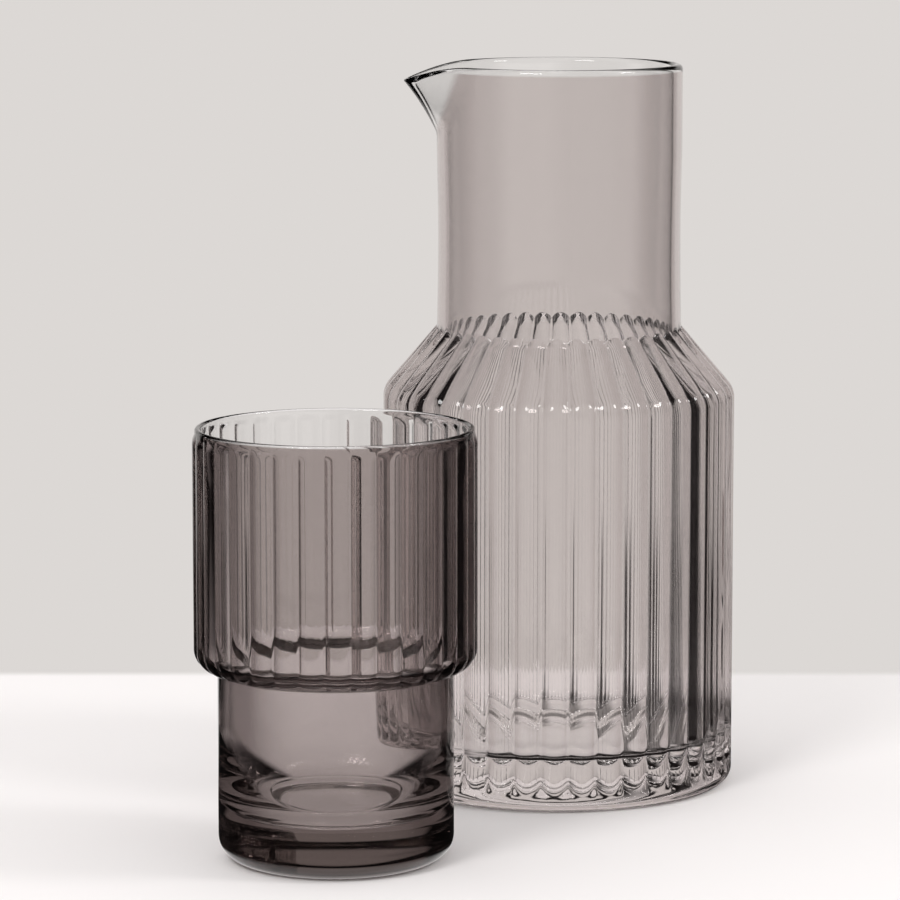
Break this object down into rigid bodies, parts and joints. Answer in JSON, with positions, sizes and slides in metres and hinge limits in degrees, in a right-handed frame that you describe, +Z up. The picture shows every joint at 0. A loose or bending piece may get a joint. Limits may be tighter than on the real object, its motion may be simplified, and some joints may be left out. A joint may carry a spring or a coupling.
{
  "type": "bedside carafe with tumbler",
  "caption": "Ribbed smoked-glass bedside carafe with a straight neck and a pulled pouring lip, and a stepped, ribbed tumbler that stands beside it and lifts off.",
  "frame": {"origin": "centre of the carafe's base ring, on the surface that the set stands on", "axes": "+Z up along the carafe's neck, -X the way the pouring lip points, -Y the side where the tumbler stands"},
  "size_m": [0.1487, 0.1863, 0.205],
  "materials": {
    "carafe_glass": "polished",
    "tumbler_glass": "polished"
  },
  "bodies": {
    "carafe": {"carafe": "carafe_glass"},
    "tumbler": {"tumbler": "tumbler_glass"}
  },
  "joints": [
    {"name": "tumbler_lift", "type": "slide", "parent": "carafe", "child": "tumbler", "axis": [0, 0, 1], "range_m": [0, 0.22]}
  ]
}
